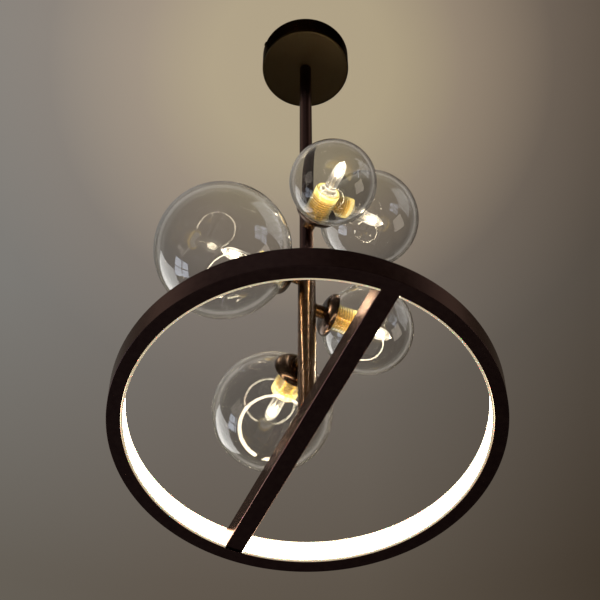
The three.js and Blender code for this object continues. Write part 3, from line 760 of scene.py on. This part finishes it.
def from_arm(piece, lamp):
    """For each point of a lamp's piece, its reach along the arm and how far it is off the arm's axis.

    The reach is x cos turn + y sin turn. The other is the root of aside^2 + (z - the arm's height)^2,
    where aside is y cos turn - x sin turn.
    """
    turn, height = arm_place(lamp)
    points = np.empty(len(piece.data.vertices) * 3)
    piece.data.vertices.foreach_get("co", points)
    x, y, z = points.reshape(-1, 3).T
    aside = y * math.cos(turn) - x * math.sin(turn)
    return x * math.cos(turn) + y * math.sin(turn), np.hypot(z - height, aside)


bulb_low = socket_floor + 2 * SEAT
bulb_shoulder = holder_front + BASE_PAST_HOLDER
bulb_tip = RIM_REACH + BULB_REACH
base_profile = rounded(
    [
        (0, bulb_low),
        (BULB_BASE, bulb_low),
        (BULB_BASE, bulb_shoulder),
        (0, bulb_shoulder),
    ],
    np.array([0, 0.4, 0.8, 0]) * MM,
)
bulb_profile = rounded(
    [
        (0, bulb_shoulder + PRESSED),
        (BULB_RADIUS, bulb_shoulder + PRESSED),
        (BULB_RADIUS, bulb_tip - NARROWS),
        (NOSE_RADIUS, bulb_tip - NOSE_BACK),
        (PINCH_RADIUS, bulb_tip - PINCH_BACK),
        (0, bulb_tip),
    ],
    np.array([0, 1.5, 4, 2.4, 1.2, 0]) * MM,
)

# The phosphor's radius is its largest times (sin a)^bluntness, at the middle less half cos a.
sweep = np.linspace(0, math.pi, 17)
core_radius = CORE_RADIUS * np.sin(sweep) ** CORE_BLUNTNESS
core_profile = np.stack([core_radius, core_middle - CORE_HALF * np.cos(sweep)], -1)
lead_profile = [
    (0, bulb_shoulder + SEAT),
    (LEAD_RADIUS, bulb_shoulder + SEAT),
    (LEAD_RADIUS, core_middle - LEAD_MEETS_CORE),
    (0, core_middle - LEAD_MEETS_CORE),
]
for lamp in LAMPS:
    own = f"lamp_{lamp}_bulb"
    grid = outwards(revolve(core_profile, sides=24), lamp)
    core = skin(f"bulb_phosphor_{lamp}", grid, own, phosphor)
    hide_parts(f"bulb_{lamp}")
    for number, way in ((1, -1), (2, 1)):
        grid = revolve(lead_profile, sides=12) + np.array([0, way * CORE_RADIUS / 2, 0])
        grid = outwards(grid, lamp)
        lead = skin(f"bulb_lead_{lamp}_{number}", grid, own, nickel)
        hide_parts(f"bulb_{lamp}")
    grid = outwards(revolve(base_profile, sides=48), lamp)
    base = skin(f"bulb_base_{lamp}", grid, own, ceramic)
    grid = outwards(revolve(bulb_profile, sides=48), lamp)
    bulb = skin(f"bulb_capsule_{lamp}", grid, own, capsule)
    reach, _ = from_arm(bulb, lamp)
    keep(bulb, "reach", reach)
    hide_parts(f"bulb_{lamp}")
    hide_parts(f"bulb_{lamp}")


# Globes: clear soda glass, blown and fire-polished, with a neck fused in at the shoulder.
# The neck has a pressed thread and screws over the holder. Its thread carries a painted glow,
# strongest on the crests, which stands in for the bulb's light in the glass.
GLASS_WALL = 1.2 * MM
NECK_WALL = 2.3 * MM
NECK_REACH = 32 * MM
NECK_BEND = 2.2 * MM
NECK_BEVEL = 0.6 * MM
NECK_THREAD_OUT = THREAD_DEPTH / 2
NECK_THREAD_IN = THREAD_DEPTH / 3
THREAD_START = 1 * MM  # past the shoulder's inner wall
FUSE_GAP = 0.05 * MM
GLOBE_SIDES = 144
WALL_ROWS = 80
NECK_OUT_ROWS = 150
NECK_IN_ROWS = 120
WAVE_LENGTH = 35 * MM
WAVE_DEPTH = 0.06 * MM
# Painted glow on the neck's glass, standing in for the bulb's light: its strength, its sharpness at the
# crests, its fade from the neck's end and its share in the bore.
PAINTED_CREST_GLOW = 1.5
CREST_SHARPNESS = 4
PAINTED_GLOW_FADE = 14 * MM  # from the neck's end, over which the painted glow falls to 1 / e
PAINTED_BORE_GLOW = 0.1  # of the crests' painted glow

# Blown glass: colourless, with long shallow waves that bend what it mirrors, and a film of fine dust.
glass, shader = finish(
    "clear_blown_glass",
    Roughness=0.0,
    IOR=1.5,
    Transmission_Weight=1.0,
    Sheen_Weight=0.18,
    Sheen_Roughness=0.35,
)
tree = shader.id_data
place = add(tree, "ShaderNodeTexCoord").outputs["Object"]
ripple = {"Scale": 1 / WAVE_LENGTH, "Detail": 1}
waves = add(tree, "ShaderNodeTexNoise", ripple, {"Vector": place}).outputs["Fac"]
raised = {"Strength": BUMP_STRENGTH, "Distance": WAVE_DEPTH}
bump = add(tree, "ShaderNodeBump", raised, {"Height": waves})
tree.links.new(bump.outputs["Normal"], shader.inputs["Normal"])
let_through(shader)

# Pressed thread glass: a little duller than the globe. It carries a painted glow, strongest on the
# crests, which stands in for the bulb's light. How much is kept on its points.
thread_glass, shader = finish(
    "pressed_thread_glass_painted_glow", Emission_Color=linear("#FFDF80"), IOR=1.5, Transmission_Weight=1.0
)
uneven(shader, 1 * MM, "#FBFAF6", "#FFFFFF", (0.02, 0.08), 0.005 * MM)
tree = shader.id_data
painted_crest_glow = add(tree, "ShaderNodeAttribute", attribute_name="painted_crest_glow").outputs["Fac"]
glow = add(tree, "ShaderNodeMath", {1: PAINTED_CREST_GLOW}, {0: painted_crest_glow}, operation="MULTIPLY").outputs[0]
tree.links.new(glow, shader.inputs["Emission Strength"])
let_through(shader)

# The globe's two walls are arcs: the radius is R sin a, and the reach is the centre's less R cos a.
# The neck's outline goes in along its outer wall, round its end and back out along its bore.
neck_out = NECK_RADIUS + NECK_WALL
neck_end = RIM_REACH + NECK_REACH
for lamp, (diameter, _) in LAMPS.items():
    radius = diameter / 2 * MM
    centre, inside = globe_centre(radius), radius - GLASS_WALL
    own = f"lamp_{lamp}_globe"
    a = np.linspace(math.pi, math.asin((neck_out + FUSE_GAP) / inside), WALL_ROWS)
    inner = np.stack([inside * np.sin(a), centre - inside * np.cos(a)], -1)
    b = np.linspace(math.asin((neck_out + FUSE_GAP) / radius), math.pi, WALL_ROWS)
    outer = np.stack([radius * np.sin(b), centre - radius * np.cos(b)], -1)
    grid = outwards(revolve(np.vstack([inner, outer]), GLOBE_SIDES), lamp)
    globe = skin(f"globe_blown_{lamp}", grid, own, glass)
    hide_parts(f"globe_{lamp}")

    shoulder_in = centre - math.sqrt(inside**2 - neck_out**2)
    shoulder_out = centre - math.sqrt(radius**2 - neck_out**2)
    mouth = centre - math.sqrt(radius**2 - (NECK_RADIUS + NECK_BEND) ** 2)
    run = np.linspace(shoulder_out, neck_end - 2 * NECK_BEVEL, NECK_OUT_ROWS)
    outer = np.stack([0 * run + neck_out, run], -1)
    run = np.linspace(neck_end - 2 * NECK_BEVEL, mouth + NECK_BEND, NECK_IN_ROWS)
    bore = np.stack([0 * run + NECK_RADIUS, run], -1)
    tip = [(neck_out - NECK_BEVEL, neck_end), (NECK_RADIUS + NECK_BEVEL, neck_end)]
    ends = shoulder_in + THREAD_START, thread_end
    grid = np.vstack(
        [
            threaded_grid(outer, GLOBE_SIDES, *ends, depth=NECK_THREAD_OUT),
            revolve(tip, GLOBE_SIDES),
            threaded_grid(bore, GLOBE_SIDES, *ends, depth=-NECK_THREAD_IN),
            revolve([(NECK_RADIUS + NECK_BEND, mouth)], GLOBE_SIDES),
        ]
    )
    grid = outwards(grid, lamp)
    neck = skin(f"globe_neck_pressed_{lamp}", grid, own, thread_glass, along=True)
    # Painted glow for each point: on the outside it gathers to the thread's crests, in the bore it is
    # weak, and it fades back from the neck's end.
    reach, off_axis = from_arm(neck, lamp)
    outside = off_axis > (NECK_RADIUS + neck_out) / 2
    above_root = (off_axis - (neck_out - NECK_THREAD_OUT)) / NECK_THREAD_OUT
    painted_crest_glow = np.clip(above_root, 0, 1) ** CREST_SHARPNESS
    painted_fade = np.exp((reach - neck_end) / PAINTED_GLOW_FADE)
    keep(neck, "painted_crest_glow", np.where(outside, painted_crest_glow * painted_fade, PAINTED_BORE_GLOW * painted_fade))
    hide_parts(f"globe_neck_{lamp}")


# Inner fittings, as the CAD has them: the strap, nuts, nipples and plugs are steel, the driver
# and the terminals plastic, and the LED boards are coated white. The ring's screws match the ring.
# Zinc plate is a dull, cloudy grey. Moulded plastic and solder mask are half matt and nearly plain.
zinc, shader = finish("zinc_plated_steel", 1.0)
uneven(shader, 8 * MM, "#98968F", "#B0AEA8", (0.28, 0.42), 0.01 * MM)
white_abs, shader = finish("moulded_white_plastic")
uneven(shader, 1.5 * MM, "#D2D2CB", "#DEDED8", (0.4, 0.5), 0.02 * MM)
led_board, shader = finish("white_solder_mask")
uneven(shader, 2 * MM, "#E6DCBE", "#EFE7CE", (0.45, 0.55), 0.01 * MM)
KEPT = {
    zinc: ["ceiling_strap", "rod_top_nipple", "rod_top_nut", "stem_nipple", "stem_nut"]
    + ["bar_plug_back", "bar_plug_front"],
    white_abs: ["led_driver", "terminal_block"],
    led_board: ["led_strip_left", "led_strip_right"],
    ring_black: ["ring_screw_back", "ring_screw_front"],
}
for material, names in KEPT.items():
    for name in names:
        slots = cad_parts[name].data.materials
        slots.clear()
        slots.append(material)


# Studio: a pale floor far below, and a warm grey surround, brighter round the canopy.
# A window of four panes, as its likeness in the glass shows, and a wide pale curtain light the
# piece from the left, and a weak lamp fills the right.
FLOOR_DROP = 2.9  # metres
FLOOR_SIZE = 2.2
FLOOR_MOTTLE = 0.25
edge = FLOOR_SIZE / 2
corners = [(-edge, -edge), (edge, -edge), (edge, edge), (-edge, edge)]
floor_mesh = bpy.data.meshes.new("floor")
floor_mesh.from_pydata([(x, y, -FLOOR_DROP) for x, y in corners], [], [(0, 1, 2, 3)])
floor = bpy.data.objects.new("floor", floor_mesh)
bpy.context.scene.collection.objects.link(floor)
pale, shader = finish("pale_floor")
uneven(shader, FLOOR_MOTTLE, "#C8C1B4", "#D2CCC0", (0.55, 0.65), 0.1 * MM)
floor_mesh.materials.append(pale)

world = bpy.data.worlds.new("studio")
bpy.context.scene.world = world
world.use_nodes = True
tree = world.node_tree
direction = add(tree, "ShaderNodeTexCoord").outputs["Generated"]


def by_direction(way, tones):
    """A colour by how far a direction leans to a given way.

    The cosine of the angle between the two goes through a ramp of tones, each at its own cosine.
    """
    lean = add(tree, "ShaderNodeVectorMath", {1: way}, {0: direction}, operation="DOT_PRODUCT")
    first, last = tones[0][0], tones[-1][0]
    ends = {"From Min": first, "From Max": last}
    share = add(tree, "ShaderNodeMapRange", ends, {"Value": lean.outputs["Value"]})
    ramp = add(tree, "ShaderNodeValToRGB", links={"Fac": share.outputs["Result"]})
    stops = ramp.color_ramp.elements
    while len(stops) < len(tones):
        stops.new(0.5)  # each stop gets its place below
    for stop, (place, tone) in zip(stops, tones):
        stop.position = (place - first) / (last - first)
        stop.color = linear(tone)
    return ramp.outputs["Color"]


# The surround is lighter towards the ceiling, and lighter and cooler on the left: those two tones
# are multiplied. Added to them are a glow round the canopy, and a ring of light round the whole
# view, which the rims of the globes pick up.
UP = (0, 0, 1)
TO_THE_RIGHT = (0.909, -0.417, 0)
TO_THE_CANOPY = (0.197, 0.428, 0.882)
ALONG_THE_VIEW = (0.247, 0.537, 0.807)
height_tones = [(-1, "#6A645C"), (-0.3, "#6A645C"), (0.2, "#6E675C"), (0.685, "#6A6055")]
height_tones += [(0.8, "#837C75"), (0.88, "#8F857C")]
side_tones = [(-0.18, "#F2FAFF"), (-0.07, "#E8E8E8"), (0.04, "#E0DFDC"), (0.18, "#A9A39B")]
canopy_tones = [(0.978, "#000000"), (0.988, "#2C241C"), (0.995, "#655845"), (0.9985, "#827655")]
ceiling_tones = [(0.52, "#000000"), (0.6, "#B4B0A8"), (0.7, "#B4B0A8"), (0.76, "#000000")]
height_light = by_direction(UP, height_tones)
side_light = by_direction(TO_THE_RIGHT, side_tones)
canopy_light = by_direction(TO_THE_CANOPY, canopy_tones)
ceiling_light = by_direction(ALONG_THE_VIEW, ceiling_tones)
both = {0: height_light, 1: side_light}
shade = add(tree, "ShaderNodeVectorMath", links=both, operation="MULTIPLY").outputs[0]
both = {0: shade, 1: canopy_light}
shade = add(tree, "ShaderNodeVectorMath", links=both, operation="ADD").outputs[0]
both = {0: shade, 1: ceiling_light}
shade = add(tree, "ShaderNodeVectorMath", links=both, operation="ADD").outputs[0]
tree.links.new(shade, tree.nodes["Background"].inputs["Color"])

FIRST_BOUNCE = 0.5  # a ray's depth passes this with its first bounce of a kind


def soft_box(name, at, aim, width, height, power, tone):
    """A flat lamp at a point, turned to face another, that shows in reflections.

    It doesn't show straight through glass: its strength is 1, less 1 for a ray that has passed
    through glass and wasn't mirrored.
    """
    lamp = bpy.data.lights.new(name, "AREA")
    lamp.use_nodes = True
    tree = lamp.node_tree
    rays = add(tree, "ShaderNodeLightPath").outputs
    limit = {1: FIRST_BOUNCE}
    depth = {0: rays["Glossy Depth"]}
    unmirrored = add(tree, "ShaderNodeMath", limit, depth, operation="LESS_THAN").outputs[0]
    depth = {0: rays["Transmission Depth"]}
    through = add(tree, "ShaderNodeMath", limit, depth, operation="GREATER_THAN").outputs[0]
    both = {0: unmirrored, 1: through}
    straight = add(tree, "ShaderNodeMath", links=both, operation="MULTIPLY").outputs[0]
    shown = add(tree, "ShaderNodeMath", {0: 1.0}, {1: straight}, operation="SUBTRACT").outputs[0]
    tree.links.new(shown, tree.nodes["Emission"].inputs["Strength"])
    lamp.shape = "RECTANGLE"
    lamp.size = width
    lamp.size_y = height
    lamp.energy = power
    lamp.color = linear(tone)[:3]
    hung = bpy.data.objects.new(name, lamp)
    hung.location = at
    way = np.array(aim) - np.array(at)
    flat = math.hypot(way[0], way[1])
    hung.rotation_euler = (math.atan2(flat, -way[2]), 0, math.atan2(-way[0], way[1]))
    bpy.context.scene.collection.objects.link(hung)


WINDOW_AT = np.array([-1.33, 0.92, -1.28])  # its middle
WINDOW_ALONG = np.array([0.569, 0.822, 0])
PANE_WIDTH = 0.32
PANE_HEIGHT = 0.38
PANE_POWER = 1.4
DAYLIGHT = "#E2EAFA"
MULLION = 0.04
LIGHT_MIDDLE = (0, 0, -0.5)
for column in (-1, 1):
    for row in (-1, 1):
        shift = column * (PANE_WIDTH + MULLION) / 2 * WINDOW_ALONG
        at = WINDOW_AT + shift + row * (PANE_HEIGHT + MULLION) / 2 * np.array(UP)
        facing = at + np.array([WINDOW_ALONG[1], -WINDOW_ALONG[0], 0])
        name = f"window_{column}_{row}"
        soft_box(name, at, facing, PANE_WIDTH, PANE_HEIGHT, PANE_POWER, DAYLIGHT)
soft_box(
    "pale_curtain",
    at=(-0.95, 1.75, -0.3),
    aim=LIGHT_MIDDLE,
    width=1.5,
    height=1.3,
    power=13,
    tone="#F4F4F2",
)
soft_box(
    "fill_right",
    at=(1.7, -0.9, -1.1),
    aim=LIGHT_MIDDLE,
    width=0.9,
    height=0.9,
    power=4,
    tone="#FFF1DE",
)

bpy.context.scene.view_settings.view_transform = "Standard"
